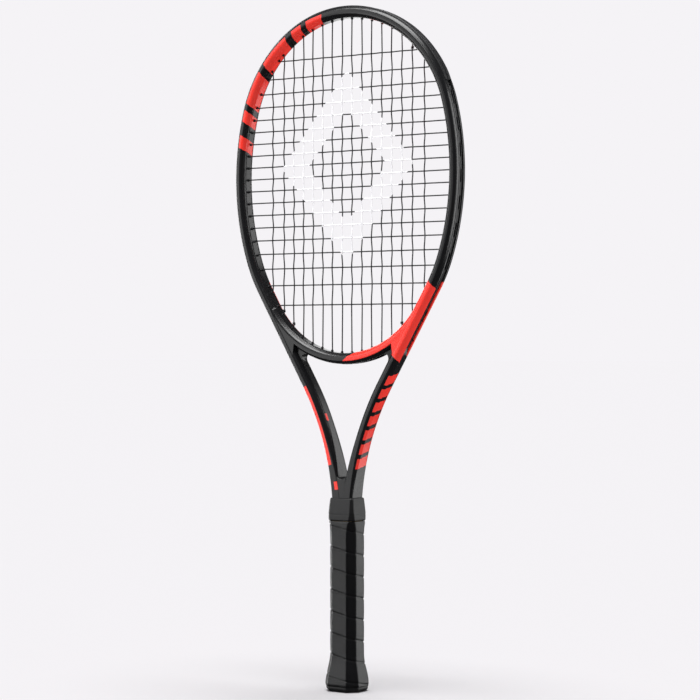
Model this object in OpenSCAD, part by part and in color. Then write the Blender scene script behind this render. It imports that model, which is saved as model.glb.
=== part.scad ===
/* [Overall] */
// Butt end to the outer face of the bumper
length = 685.8; // [680:0.1:692]
// Tube thickness in the plane of the head
tube_thick = 11.2; // [10.8:0.1:11.6]
// Tube depth, front to back, around the head
beam = 20; // [19.4:0.1:20.6]
// Tube depth where the two shafts run side by side
neck_beam = 21.6; // [21.2:0.1:21.6]

/* [Head outline] */
// Radius of the crown arc
crown_r = 122.2; // [121.5:0.1:123]
// Angle the crown arc turns on each side
crown_turn = 42.3; // [42:0.1:43]
// Radius of the shoulder arc
shoulder_r = 129.3; // [128.5:0.1:130]
// Angle the shoulder arc turns
shoulder_turn = 32.6; // [32.2:0.1:33]
// Radius of the flat side arc
flank_r = 264.6; // [262:0.1:267]
// Angle the side arc turns
flank_turn = 33.8; // [33.4:0.1:34.2]
// Radius of the arc that leads into the shaft
cheek_r = 154.2; // [152:0.1:156]
// Slant of the straight part of each shaft
slant = 30.6; // [30.4:0.1:30.8]
// Radius of the bend that brings the shafts together
neck_r = 276.6; // [275:0.1:278]
// Half the spacing of the two shafts inside the handle
neck_half = 6.3; // [6.2:0.05:6.4]

/* [Strings] */
// String diameter
string_d = 1.3; // [1.1:0.05:1.35]
// Spacing of the main strings in the middle of the head
main_pitch = 11.9; // [11.7:0.1:12.1]
// Spacing of the cross strings in the middle of the head
cross_pitch = 12; // [11.8:0.1:12.1]
// Distance from the racket's tip to the first cross string
first_cross = 49.6; // [49:0.1:50.2]

/* [Handle] */
// Handle width across the grip
grip_w = 31.8; // [31.4:0.1:32.4]
// Handle depth over the grip, front to back
grip_d = 28.4; // [28.2:0.1:29]
// Corner cut of the handle's octagon
grip_cut = 7.1; // [6.8:0.1:7.2]
// Thickness of the wrapped grip
grip_thick = 1.7; // [1.6:0.05:1.8]
// How much wider the butt is than the grip, each side
butt_flare = 4.4; // [4:0.1:4.8]
// Height of the grip's upper end
grip_top = 170; // [168:0.5:171]

/* [Hidden] */
$fn = 64;

// --- tube section, as [outward, depth] ---
half_t = tube_thick / 2;
half_q = beam / 2;
neck_q = neck_beam / 2;
flat_half = 5.1;          // half width of the outer and inner flats
crest_half = 2.7;         // half width of the front and back crests
groove_w = 6.4;           // channel for the grommet strip
groove_deep = 1.7;
wall = 1.8;
guard_proud = 0.75;       // bumper over the tube's outer flat
fit = 0.05;               // gap between pieces that sit on each other

// --- outline: centres and running turn of the four arcs, from the tip down ---
tip_z = length - half_t - guard_proud;
arc_r = [crown_r, shoulder_r, flank_r, cheek_r];
turn = [0, crown_turn, crown_turn + shoulder_turn, crown_turn + shoulder_turn + flank_turn, 90 + slant];
centre_1 = [0, tip_z - crown_r];
centre_2 = centre_1 + (crown_r - shoulder_r) * [sin(turn[1]), cos(turn[1])];
centre_3 = centre_2 + (shoulder_r - flank_r) * [sin(turn[2]), cos(turn[2])];
centre_4 = centre_3 + (flank_r - cheek_r) * [sin(turn[3]), cos(turn[3])];
arc_c = [centre_1, centre_2, centre_3, centre_4];
out_dir = [cos(slant), -sin(slant)];     // outward from the slanted shaft
down_dir = [-sin(slant), -cos(slant)];   // down along it
cheek_end = centre_4 + cheek_r * out_dir;
bend_start_x = neck_half + neck_r * (1 - cos(slant));
straight_len = (cheek_end[0] - bend_start_x) / sin(slant);
bend_start = cheek_end + straight_len * down_dir;
bend_c = bend_start + neck_r * out_dir;
drilled_len = 72;                        // straight that belongs to the head's side tubes
crown_split = 38;                        // where the crown tube meets the side tubes

// --- bridge: one arc tangent to both slanted shafts inside the head ---
bridge_top_z = 338.2;
inner_p = cheek_end - half_t * out_dir;
bridge_r = (inner_p[0] * cos(slant) - (inner_p[1] - bridge_top_z) * sin(slant)) / (1 - sin(slant));
bridge_c = [0, bridge_top_z + bridge_r];
bridge_reach = 50.5;                     // angle at which the bridge has run into the side tubes
fillet_r = 5;

// --- strings ---
string_r = string_d / 2;
mouth = half_t + 1.9;                    // where a string meets its barrel, inside the tube
loop_n = half_t - groove_deep + 0.6 + string_r + fit;
barrel_r = 1.6;
bore_r = 0.95;
hole_r = barrel_r + 0.1;
half_mains = 8;
crosses = 19;
bridge_mains = 5;                        // mains each side that leave under the bridge
guard_crosses = 3;                       // crosses that pass through the bumper
main_x = [for (i = [0 : half_mains - 1]) main_pitch * (i + 0.5) + 0.55 * pow(5, i - 6)];
cross_gap = [for (i = [0 : crosses - 2]) cross_pitch + 5.9 * pow(0.477, i) + 8.2 * pow(0.63, 17 - i)];
function gapSum(n) = n == 0 ? 0 : gapSum(n - 1) + cross_gap[n - 1];
cross_z = [for (j = [0 : crosses - 1]) length - first_cross - gapSum(j)];
guard_end = 68;
guard_slit = 0.02;                           // hairline between the guard's crown and shoulders
strip_start = 68.6;
weave = 2 * string_r + 0.06;

// a hole is [x, z, direction x, direction z, turn along the outline or -1 on the bridge]
function onArc(k, a, n) = arc_c[k] + (arc_r[k] + n) * [sin(a), cos(a)];
function arcHole(k, a) = let (p = onArc(k, a, -mouth)) [p[0], p[1], sin(a), cos(a), a];
function mainTurn(x, k) = asin((x - arc_c[k][0]) / (arc_r[k] - mouth));
function mainTop(x) = mainTurn(x, 0) <= turn[1] ? arcHole(0, mainTurn(x, 0)) : arcHole(1, mainTurn(x, 1));
function crossTurn(z, k) = acos((z - arc_c[k][1]) / (arc_r[k] - mouth));
function crossArc(z) =
    crossTurn(z, 1) <= turn[2] ? 1 : crossTurn(z, 2) <= turn[3] ? 2 : 3;
mouth_p = cheek_end - mouth * out_dir;
function straightHole(p) = [p[0], p[1], out_dir[0], out_dir[1], turn[4]];
function crossHole(z) =
    z > mouth_p[1] ? arcHole(crossArc(z), crossTurn(z, crossArc(z)))
    : straightHole([mouth_p[0] - (mouth_p[1] - z) * tan(slant), z]);
mouth_extra = mouth - half_t;
function bridgeHole(x) =
    let (a = asin(x / (bridge_r - mouth_extra)))
    [x, bridge_c[1] - (bridge_r - mouth_extra) * cos(a), sin(a), -cos(a), -1];
function mainBottom(i) =
    i < half_mains - 1 ? bridgeHole(main_x[i])
    : straightHole([main_x[i], mouth_p[1] - (mouth_p[0] - main_x[i]) / tan(slant)]);
top_holes = [for (x = main_x) mainTop(x)];
bottom_holes = [for (i = [0 : half_mains - 1]) mainBottom(i)];
side_holes = [for (z = cross_z) crossHole(z)];
function cut(list, from, to) = [for (i = [from : to]) list[i]];
tube_reach = mouth + half_t - groove_deep;   // mouth to the channel's floor
wedge_extra = [9, 4];                        // extra tube that the two mains past the bridge cross

// --- handle ---
half_w = grip_w / 2;
half_d = grip_d / 2;
cap_top = 30;
pallet_bottom = 8;
taper_top = 184;         // the pallet narrows from the grip's top to here
shaft_bottom = 20;
collar_bottom = grip_top + 0.4;
collar_top = 193;
flare_top = 38;
flare_low = 6;
door_w = 20;
door_d = 14;
handle_q = 9;            // half depth of the shafts inside the handle

// ---------- shapes ----------
module section() {
    w = groove_w / 2;
    floor_n = half_t - groove_deep;
    difference() {
        polygon([
            [half_t, -flat_half], [half_t, -w], [floor_n, -w], [floor_n, w], [half_t, w], [half_t, flat_half],
            [crest_half, half_q], [-crest_half, half_q], [-half_t, flat_half],
            [-half_t, -flat_half], [-crest_half, -half_q], [crest_half, -half_q]
        ]);
        cavity();
    }
}

module cavity() {
    outer_n = half_t - groove_deep - wall + 0.2;
    inner_n = wall - half_t;
    polygon([
        [outer_n, -7], [outer_n, 7], [crest_half - 1.1, half_q - wall], [1.1 - crest_half, half_q - wall],
        [inner_n, flat_half - 0.7], [inner_n, 0.7 - flat_half],
        [1.1 - crest_half, wall - half_q], [crest_half - 1.1, wall - half_q]
    ]);
}

// the shaft's outside, a little larger than the tube that it cuts
module shaftCutter() {
    q = half_q + 0.1;
    f = flat_half + 0.15;
    polygon([
        [half_t, -f], [half_t, f], [crest_half, q], [-crest_half, q],
        [-half_t, f], [-half_t, -f], [-crest_half, -q], [crest_half, -q]
    ]);
}

// sweep a section along the head's outline between two turns, on the +X side
module alongOutline(from, to) {
    for (k = [0 : 3]) {
        low = max(from, turn[k]);
        high = min(to, turn[k + 1]);
        if (high > low)
            translate([arc_c[k][0], 0, arc_c[k][1]]) rotate([90, 0, 0])
                rotate_extrude(angle = high - low, start = 90 - high, $fn = 180)
                    translate([arc_r[k], 0]) children();
    }
}

// sweep a section over the tip, the same turn to both sides
module overCrown(reach) {
    translate([0, 0, centre_1[1]]) rotate([90, 0, 0])
        rotate_extrude(angle = 2 * reach, start = 90 - reach, $fn = 180)
            translate([crown_r, 0]) children();
}

// run a section down the straight shaft, by distance from its upper end
module alongShaft(from, to) {
    p = cheek_end + to * down_dir;
    translate([p[0], 0, p[1]]) rotate([0, slant, 0]) linear_extrude(to - from) children();
}

// the bridge's arc runs below its centre, outward is down
module alongBridge(from, to) {
    translate([0, 0, bridge_c[1]]) rotate([90, 0, 0])
        rotate_extrude(angle = to - from, start = 270 + from, $fn = 180)
            translate([bridge_r + half_t, 0]) children();
}

module drill(holes, radius, from, reach) {
    for (h = holes)
        translate([h[0], 0, h[1]]) rotate([0, atan2(h[2], h[3]), 0]) translate([0, 0, from])
            cylinder(r = radius, h = reach - from, $fn = 32);
}

module barrels(holes, reach) {
    difference() {
        drill(holes, barrel_r, 0.3, reach);
        drill(holes, bore_r, 0, reach + 1);
    }
}

module bothSides() {
    children();
    mirror([1, 0, 0]) children();
}

// closed skin through rings of points, each ring anticlockwise seen from the last ring's end
module loft(rings) {
    n = len(rings[0]);
    m = len(rings);
    polyhedron(
        points = [for (r = rings) each r],
        faces = concat(
            [[for (j = [0 : n - 1]) j]],
            [[for (j = [n - 1 : -1 : 0]) (m - 1) * n + j]],
            [for (i = [0 : m - 2]) for (j = [0 : n - 1])
                [i * n + j, (i + 1) * n + j, (i + 1) * n + (j + 1) % n, i * n + (j + 1) % n]]
        )
    );
}

// the same with a second skin inside it, open at both ends
module pipe(outer, inner) {
    n = len(outer[0]);
    m = len(outer);
    s = n * m;
    polyhedron(
        points = concat([for (r = outer) each r], [for (r = inner) each r]),
        faces = concat(
            [for (i = [0 : m - 2]) for (j = [0 : n - 1])
                [i * n + j, (i + 1) * n + j, (i + 1) * n + (j + 1) % n, i * n + (j + 1) % n]],
            [for (i = [0 : m - 2]) for (j = [0 : n - 1])
                [s + i * n + j, s + i * n + (j + 1) % n, s + (i + 1) * n + (j + 1) % n, s + (i + 1) * n + j]],
            [for (j = [0 : n - 1]) [j, (j + 1) % n, s + (j + 1) % n, s + j]],
            [for (j = [0 : n - 1]) let (b = (m - 1) * n) [b + j, s + b + j, s + b + (j + 1) % n, b + (j + 1) % n]]
        )
    );
}

function octagon(a, b, c) = [
    [a, c - b], [a, b - c], [a - c, b], [c - a, b], [-a, b - c], [-a, c - b], [c - a, -b], [a - c, -b]
];
function raise(outline, z) = [for (p = outline) [p[0], p[1], z]];
function smooth(t) = let (c = max(0, min(1, t))) c * c * (3 - 2 * c);
function flare(z) = z > flare_top ? 0 : butt_flare * (1 - cos(180 * min(1, (flare_top - z) / (flare_top - flare_low)))) / 2;
// the butt's lower edge rounds in over its last few millimetres
function tuck(z) = z > 5 ? 0 : 4.4 * (1 - sqrt(1 - pow((5 - z) / 5, 2)));
function handleRing(z, inset) =
    let (g = flare(z) - tuck(z) - inset)
    raise(octagon(half_w + g, half_d + g * 0.92, grip_cut + g * 0.45), z);

// ---------- frame ----------
module hoop_crown() {
    color("dimgray") difference() {
        overCrown(crown_split) section();
        bothSides() drill(cut(top_holes, 0, 5), hole_r, -1, mouth + half_t + 2);
    }
}

module sideTube() {
    difference() {
        union() {
            alongOutline(crown_split, turn[4]) section();
            alongShaft(0, drilled_len) section();
        }
        drill(cut(top_holes, 6, 7), hole_r, -1, mouth + half_t + 2);
        drill(side_holes, hole_r, -1, mouth + half_t + 2);
        drill([bottom_holes[7]], hole_r, -1, mouth + half_t + 2);
        drill(cut(bottom_holes, 5, 6), hole_r, -1, 40);
    }
}

module hoop_left() {
    color("dimgray") mirror([1, 0, 0]) sideTube();
}

module hoop_right() {
    color("tomato") sideTube();
}

module gusset() {
    tangent_p = bridge_c + bridge_r * out_dir;
    run = sqrt(pow(bridge_r + tube_thick + fillet_r, 2) - pow(bridge_r - fillet_r, 2));
    corner_run = sqrt(pow(bridge_r + tube_thick, 2) - pow(bridge_r, 2));
    corner = tangent_p + corner_run * down_dir;
    foot = tangent_p + run * down_dir;
    eye = foot - fillet_r * out_dir;
    touch = bridge_c + (eye - bridge_c) * (bridge_r + tube_thick) / (bridge_r + tube_thick + fillet_r);
    rotate([90, 0, 0]) linear_extrude(2 * flat_half - 0.4, center = true) difference() {
        polygon([corner - fit * out_dir, touch, eye, foot - fit * out_dir]);
        translate(eye) circle(r = fillet_r);
        translate(bridge_c) circle(r = bridge_r + tube_thick + 0.35, $fn = 720);
    }
}

// moulded fillets under the bridge, in the throat's two upper corners
module throat_fillets() {
    color("dimgray") bothSides() gusset();
}

module throat_bridge() {
    color("dimgray") difference() {
        alongBridge(-bridge_reach, bridge_reach) section();
        bothSides() alongShaft(0, straight_len) shaftCutter();
        bothSides() drill(cut(bottom_holes, 0, 5), hole_r, -1, mouth + half_t + 2);
    }
}

// the shaft's section turns from the head's octagon to a boxier one at the neck
function blendAt(z) = smooth((z - 185) / 85);
function mix(a, b, t) = a + (b - a) * t;
neck_tuck = 1;           // how far the outer flats draw in at the neck
neck_flat = 9;           // half width of the outer flats there
function shaftQ(z) =
    z < 192 ? mix(handle_q, neck_q, smooth((z - 172) / 20)) : mix(neck_q, half_q, blendAt(z));
function shaftSection(z, w) =
    let (
        k = blendAt(z),
        q = shaftQ(z) - w,
        t = mix(half_t - neck_tuck, half_t, k) - w,
        s = z < 192 ? mix(6, neck_flat, smooth((z - 172) / 20)) : mix(neck_flat, flat_half, k),
        si = mix(shaftQ(z) - 0.3, flat_half, k),
        ci = mix(half_t - 0.3, crest_half, k),
        c = crest_half
    )
    [
        [t, w / 2 - s], [t, s - w / 2], [c - w / 2, q], [w / 2 - ci, q],
        [w - half_t, si - w / 2], [w - half_t, w / 2 - si], [w / 2 - ci, -q], [c - w / 2, -q]
    ];
bend_steps = 24;
shaft_place = concat(
    [[neck_half, shaft_bottom, 0]],
    [for (i = [0 : bend_steps]) let (a = slant * i / bend_steps)
        [bend_c[0] - neck_r * cos(a), bend_c[1] + neck_r * sin(a), a]],
    [let (p = cheek_end + drilled_len * down_dir) [p[0], p[1], slant]]
);
function shaftRings(w) = [
    for (p = shaft_place)
        [for (v = shaftSection(p[1], w)) [p[0] + v[0] * cos(p[2]), v[1], p[1] - v[0] * sin(p[2])]]
];

module shaft() {
    pipe(shaftRings(0), shaftRings(wall));
}

module shaft_left() {
    color("black") mirror([1, 0, 0]) shaft();
}

module shaft_right() {
    color("black") shaft();
}

// moulded filler that closes the V between the two shafts
module neck_wedge() {
    top = 214;
    low = taper_top + 2;
    color("black") difference() {
        translate([-8, -neck_q + 0.8, low]) cube([16, 2 * neck_q - 1.6, top - low]);
        bothSides() translate([bend_c[0], 0, bend_c[1]]) rotate([90, 0, 0])
            cylinder(r = neck_r + half_t + fit, h = 60, center = true, $fn = 720);
    }
}

// ---------- grommets and bumper ----------
module guardSection() {
    low = half_t - groove_deep + fit;
    floor_n = low + 0.55;
    high = half_t + guard_proud;
    polygon([
        [low, -3], [half_t + fit, -3], [half_t + fit, -5.5], [high, -5.1], [high, -1.5],
        [floor_n, -1.5], [floor_n, 1.5], [high, 1.5], [high, 5.1], [half_t + fit, 5.5],
        [half_t + fit, 3], [low, 3]
    ]);
}

module stripSection() {
    low = half_t - groove_deep + fit;
    translate([low, -2.9]) square([0.55, 5.8]);
}

module bumper_guard() {
    color("black") {
        difference() {
            overCrown(turn[1] - guard_slit) guardSection();
            bothSides() drill(cut(top_holes, 0, 6), bore_r, 8, 24);
        }
        bothSides() difference() {
            alongOutline(turn[1] + guard_slit, guard_end) guardSection();
            drill(cut(top_holes, 7, 7), bore_r, 8, 24);
            drill(cut(side_holes, 0, guard_crosses - 1), bore_r, 8, 24);
        }
    }
}

// the guard's own barrels, through the tube to the head's inner face
module guard_grommets() {
    color("black") bothSides() {
        barrels(top_holes, tube_reach);
        barrels(cut(side_holes, 0, guard_crosses - 1), tube_reach);
    }
}

module sideStrip() {
    difference() {
        union() {
            alongOutline(strip_start, turn[4]) stripSection();
            alongShaft(0, drilled_len - 4) stripSection();
        }
        drill(cut(side_holes, guard_crosses, crosses - 1), bore_r, 0, 24);
        drill([bottom_holes[7]], bore_r, 0, 24);
        drill(cut(bottom_holes, 5, 6), hole_r, 0, 40);
    }
    barrels(cut(side_holes, guard_crosses, crosses - 1), tube_reach);
    barrels([bottom_holes[7]], tube_reach);
}

module grommet_strip_left() {
    color("black") mirror([1, 0, 0]) sideStrip();
}

module grommet_strip_right() {
    color("black") sideStrip();
}

module grommet_strip_throat() {
    last = asin(main_x[bridge_mains - 1] / bridge_r) + 1.6;
    color("black") {
        difference() {
            alongBridge(-last, last) stripSection();
            bothSides() drill(cut(bottom_holes, 0, bridge_mains - 1), bore_r, 0, 24);
        }
        bothSides() barrels(cut(bottom_holes, 0, bridge_mains - 1), tube_reach);
        for (i = [5 : 6]) bothSides() barrels([bottom_holes[i]], tube_reach + wedge_extra[i - 5]);
    }
}

// ---------- strings ----------
module loopAlong(from, to, aside = 0) {
    alongOutline(from, to) translate([loop_n, aside]) circle(r = string_r, $fn = 24);
}

function ringAt(p, upright) = [
    for (a = [0 : 45 : 315]) upright
        ? [p[0] + string_r * cos(a), p[1] + string_r * sin(a), p[2]]
        : [p[0], p[1] + string_r * cos(a), p[2] + string_r * sin(a)]
];
function leave(h, reach) = [h[0] + h[2] * reach, 0, h[1] + h[3] * reach];
string_reach = tube_reach + 0.05;
loop_aside = string_r + 0.05;            // where two loops share the channel, they lie side by side

module mainString(i) {
    b = bottom_holes[i];
    t = top_holes[i];
    past = i < bridge_mains || i == half_mains - 1 ? 0 : wedge_extra[i - bridge_mains];
    loft([for (p = [leave(b, string_reach + past), leave(b, 0), leave(t, 0), leave(t, string_reach)])
        ringAt(p, true)]);
}

// loops on the outside of the frame join the mains in pairs
module main_strings() {
    color("black") {
        bothSides() {
            for (i = [0 : half_mains - 1]) mainString(i);
            for (i = [0 : 2 : half_mains - 4]) loopAlong(top_holes[i][4], top_holes[i + 1][4]);
            loopAlong(top_holes[6][4], top_holes[7][4], loop_aside);
            for (i = [1 : 2 : bridge_mains - 2])
                alongBridge(asin(bottom_holes[i][2]), asin(bottom_holes[i + 1][2]))
                    translate([loop_n, 0]) circle(r = string_r, $fn = 24);
        }
        alongBridge(-asin(bottom_holes[0][2]), asin(bottom_holes[0][2]))
            translate([loop_n, 0]) circle(r = string_r, $fn = 24);
    }
}

all_x = concat([for (i = [half_mains - 1 : -1 : 0]) -main_x[i]], main_x);
function over(i, j) = (i + j) % 2 == 0 ? weave : -weave;

module crossString(j) {
    h = side_holes[j];
    left = [-leave(h, string_reach)[0], 0, leave(h, string_reach)[2]];
    loft(concat(
        [ringAt(left, false), ringAt([-h[0], 0, h[1]], false)],
        [for (i = [0 : len(all_x) - 1]) if (abs(all_x[i]) < h[0] - 2) ringAt([all_x[i], over(i, j), h[1]], false)],
        [ringAt([h[0], 0, h[1]], false), ringAt(leave(h, string_reach), false)]
    ));
}

module cross_strings() {
    color("black") {
        for (j = [0 : crosses - 1]) crossString(j);
        for (j = [1 : 2 : crosses - 3]) loopAlong(side_holes[j][4], side_holes[j + 1][4]);
        mirror([1, 0, 0]) {
            loopAlong(side_holes[0][4], side_holes[1][4], -loop_aside);
            for (j = [2 : 2 : crosses - 4]) loopAlong(side_holes[j][4], side_holes[j + 1][4]);
        }
    }
}

// the string's end is hitched twice round a main, just inside the head
module hitch(hole, inward) {
    for (turns = [0, 1])
        translate([hole[0], 0, hole[1] + inward * (1.7 + 1.02 * turns)])
            rotate_extrude($fn = 32) translate([string_r + 0.56, 0]) circle(r = 0.5, $fn = 16);
}

module string_knots() {
    color("black") {
        bothSides() hitch(bottom_holes[5], 1);
        hitch(top_holes[6], -1);
        mirror([1, 0, 0]) hitch(bottom_holes[6], 1);
    }
}

// ---------- handle ----------
module palletHalf() {
    core = grip_thick + fit;
    difference() {
        union() {
            translate([0, 0, pallet_bottom]) linear_extrude(grip_top - pallet_bottom)
                polygon(octagon(half_w - core, half_d - core, grip_cut - core * 0.45));
            loft([taperRing(grip_top, 0), taperRing(taper_top, 0)]);
        }
        translate([0, 0, pallet_bottom - 1]) linear_extrude(200)
            polygon(octagon(neck_half + half_t - neck_tuck + 0.2, handle_q + 0.1, 2));
        translate([0, 0, 171]) linear_extrude(30) polygon(octagon(11.7, 10.4, 2));
        translate([-30, -0.05, 0]) cube([60, 30, 300]);
    }
}

module pallet_front() {
    color("tan") palletHalf();
}

module pallet_back() {
    color("tan") mirror([0, 1, 0]) palletHalf();
}

cap_levels = [0, 0.4, 1, 1.8, 3, 5, 9, 13, 17, 21, 25, cap_top];

module capBody() {
    loft([for (z = cap_levels) handleRing(z, z < 5 ? grip_thick * smooth(z / 5) : grip_thick)]);
}

module butt_cap() {
    core = grip_thick - 0.05;
    color("black") difference() {
        capBody();
        translate([0, 0, pallet_bottom]) linear_extrude(60)
            polygon(octagon(half_w - core, half_d - core, grip_cut - core * 0.45));
        translate([-door_w / 2, -door_d / 2, -1]) cube([door_w, door_d, 20]);
    }
}

// door in the butt: a plate with a rim and two snap tongues
module butt_cap_door() {
    gap = 0.3;
    w = door_w - 2 * gap;
    d = door_d - 2 * gap;
    color("black") {
        translate([-w / 2, -d / 2, 0.2]) cube([w, d, 2]);
        for (s = [-1, 1])
            translate([s * (w / 2 - 1) - 1, -3, 2.2]) cube([2, 6, 8]);
    }
}

module cap_staples() {
    color("silver") for (s = [-1, 1]) {
        translate([-4, s * 13.6 - 0.3, 23.4]) cube([8, 0.6, 1.2]);
        for (x = [-4, 3.2])
            translate([x, s > 0 ? 10.4 : -13.3, 23.6]) cube([0.8, 2.9, 0.8]);
    }
}

grip_levels = [5, 7, 9, 13, 17, 21, 25, cap_top, 34, flare_top, grip_top];

module grip_wrap() {
    color("black") pipe(
        [for (z = grip_levels) handleRing(z, 0)],
        [for (z = grip_levels) handleRing(z, z > cap_top + 2 ? grip_thick : grip_thick - fit)]
    );
}

tape_t = 0.5;
function taperRing(z, add) =
    let (k = (z - grip_top) / (taper_top - grip_top), core = grip_thick + fit)
    raise(octagon(
        mix(half_w - core, half_w - 3, k) + add,
        mix(half_d - core, half_d - 2.6, k) + add,
        mix(grip_cut - core * 0.45, grip_cut - 3.6, k) + add * 0.6), z);

module finishing_tape() {
    levels = [grip_top + 1.5, taper_top - 1];
    color("black") pipe([for (z = levels) taperRing(z, tape_t)], [for (z = levels) taperRing(z, fit)]);
}

module rubber_collar() {
    color("dimgray") pipe(
        [
            raise(octagon(half_w - 0.5, half_d - 0.5, grip_cut - 0.3), collar_bottom),
            raise(octagon(half_w, half_d, grip_cut - 0.1), collar_bottom + 1),
            raise(octagon(half_w - 0.3, half_d - 0.5, grip_cut - 0.9), 178),
            raise(octagon(half_w - 1, half_d - 1.2, grip_cut - 2.5), 184),
            raise(octagon(half_w - 1.8, half_d - 2.3, grip_cut - 4.2), collar_top - 1.2),
            raise(octagon(half_w - 2, half_d - 2.5, grip_cut - 4.4), collar_top)
        ],
        [
            raise(octagon(half_w - 0.95, half_d - 0.95, grip_cut - 0.9), collar_bottom),
            raise(octagon(half_w - 0.95, half_d - 0.95, grip_cut - 0.9), collar_bottom + 1),
            raise(octagon(half_w - 1.3, half_d - 1.45, grip_cut - 1.7), 178),
            raise(octagon(half_w - 2, half_d - 1.9, grip_cut - 3.1), 184),
            raise(octagon(half_w - 2.5, half_d - 3, grip_cut - 4.7), collar_top - 1.2),
            raise(octagon(half_w - 2.5, half_d - 3, grip_cut - 4.7), collar_top)
        ]
    );
}

hoop_crown();
hoop_left();
hoop_right();
throat_bridge();
throat_fillets();
shaft_left();
shaft_right();
neck_wedge();
bumper_guard();
guard_grommets();
grommet_strip_left();
grommet_strip_right();
grommet_strip_throat();
main_strings();
cross_strings();
string_knots();
pallet_front();
pallet_back();
butt_cap();
butt_cap_door();
cap_staples();
grip_wrap();
finishing_tape();
rubber_collar();
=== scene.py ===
import math
import bmesh
import bpy
import numpy as np
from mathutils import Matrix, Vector


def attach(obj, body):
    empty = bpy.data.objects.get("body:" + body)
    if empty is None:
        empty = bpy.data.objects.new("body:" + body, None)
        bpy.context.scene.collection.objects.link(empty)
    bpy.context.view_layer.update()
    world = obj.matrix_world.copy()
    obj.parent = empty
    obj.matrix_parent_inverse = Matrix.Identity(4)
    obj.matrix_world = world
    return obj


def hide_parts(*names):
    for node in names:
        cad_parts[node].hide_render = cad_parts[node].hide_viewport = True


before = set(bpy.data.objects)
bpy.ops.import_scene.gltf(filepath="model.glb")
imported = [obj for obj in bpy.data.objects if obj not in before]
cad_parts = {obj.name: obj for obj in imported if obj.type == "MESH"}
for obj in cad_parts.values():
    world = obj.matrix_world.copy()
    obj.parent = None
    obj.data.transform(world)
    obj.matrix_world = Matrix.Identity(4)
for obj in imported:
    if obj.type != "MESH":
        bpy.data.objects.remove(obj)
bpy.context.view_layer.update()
mm = 0.001
print("frame loaded:", len(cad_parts), "nodes")

# camera, floor and light, in metres and degrees
studio = {
    "azimuth": 34.3,        # round from the front, towards +X
    "distance": 2.25, "eyeHeight": 0.3411, "sideStep": 0.0029, "lens": 115.35, "sensor": 36,
    "backdrop": "#f5f3f6", "paper": "#f3f1f4", "floorHalf": 60, "floorDrop": 0.0002,
    "sunPower": 3.03, "sunAngle": 40, "ambient": 0.05, "aimHeight": 0.36,
}
# name, azimuth, elevation, distance, width, height, radiance
softboxes = [
    ("frontLeftBox", -45, 4, 2.3, 1.0, 2.4, 2.3),
    ("leftStrip", -98, 8, 2.4, 0.35, 2.4, 12.0),
    ("rightStrip", 105, 8, 2.4, 0.5, 2.4, 6.5),
    ("backRightBox", 148, 2, 2.4, 0.6, 2.4, 2.8),
    ("highKey", -18, 57, 2.6, 1.8, 1.3, 9.5),
    ("backLeftBox", -142, 6, 2.6, 1.3, 2.2, 2.0),
]


def toLinear(hexColour):
    parts = [int(hexColour[i:i + 2], 16) / 255 for i in (1, 3, 5)]
    return [c / 12.92 if c <= 0.04045 else ((c + 0.055) / 1.055) ** 2.4 for c in parts] + [1.0]


# an input is linked if its value is a socket, and set if it is not
def fill(tree, node, inputs):
    for socket, value in inputs.items():
        if isinstance(value, bpy.types.NodeSocket):
            tree.links.new(value, node.inputs[socket])
        else:
            node.inputs[socket].default_value = value


def addNode(tree, kind, settings=None, inputs=None, **named):
    node = tree.nodes.new(kind)
    for name, value in (settings or {}).items():
        setattr(node, name, value)
    fill(tree, node, inputs or {})
    fill(tree, node, {name.replace("_", " "): value for name, value in named.items()})
    return node


def newMaterial(name):
    material = bpy.data.materials.new(name)
    material.use_nodes = True
    return material, material.node_tree, material.node_tree.nodes["Principled BSDF"]


def addObject(name, data):
    made = bpy.data.objects.new(name, data)
    bpy.context.scene.collection.objects.link(made)
    return made


def makeCamera():
    turn = math.radians(studio["azimuth"])
    right = Vector((math.cos(turn), math.sin(turn), 0))
    back = Vector((math.sin(turn), -math.cos(turn), 0))
    lens = bpy.data.cameras.new("studioCamera")
    lens.lens = studio["lens"]
    lens.sensor_width = studio["sensor"]
    camera = addObject("studioCamera", lens)
    camera.location = back * studio["distance"] + right * studio["sideStep"]
    camera.location.z = studio["eyeHeight"]
    camera.rotation_mode = "QUATERNION"
    camera.rotation_quaternion = (-back).to_track_quat("-Z", "Y")
    bpy.context.scene.camera = camera
    bpy.context.scene.view_settings.view_transform = "Standard"


# pale backdrop paper, even out to the horizon under an overhead sun
def makeFloor():
    mesh = bpy.data.meshes.new("studioFloor")
    side = studio["floorHalf"]
    corners = [(-side, -side, 0), (side, -side, 0), (side, side, 0), (-side, side, 0)]
    mesh.from_pydata(corners, [], [(0, 1, 2, 3)])
    floor = addObject("studioFloor", mesh)
    floor.location.z = -studio["floorDrop"]
    # kept out of reflections, where so bright a floor would grey the dark facets
    floor.visible_glossy = False
    paper, tree, shader = newMaterial("matteBackdropPaper")
    fill(tree, shader, {"Base Color": toLinear(studio["paper"]), "Roughness": 1, "Specular IOR Level": 0})
    mesh.materials.append(paper)
    return floor


# the room seen directly is pale, and what it sheds on the racket is dim
def makeRoom():
    world = bpy.data.worlds.new("paleRoom")
    world.use_nodes = True
    tree = world.node_tree
    tree.nodes.clear()
    seen = addNode(tree, "ShaderNodeBackground", Color=toLinear(studio["backdrop"]), Strength=1)
    shed = addNode(tree, "ShaderNodeBackground", Color=(1, 1, 1, 1), Strength=studio["ambient"])
    path = addNode(tree, "ShaderNodeLightPath")
    mixed = addNode(tree, "ShaderNodeMixShader", None,
                    {0: path.outputs["Is Camera Ray"], 1: shed.outputs[0], 2: seen.outputs[0]})
    addNode(tree, "ShaderNodeOutputWorld", Surface=mixed.outputs[0])
    bpy.context.scene.world = world


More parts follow.
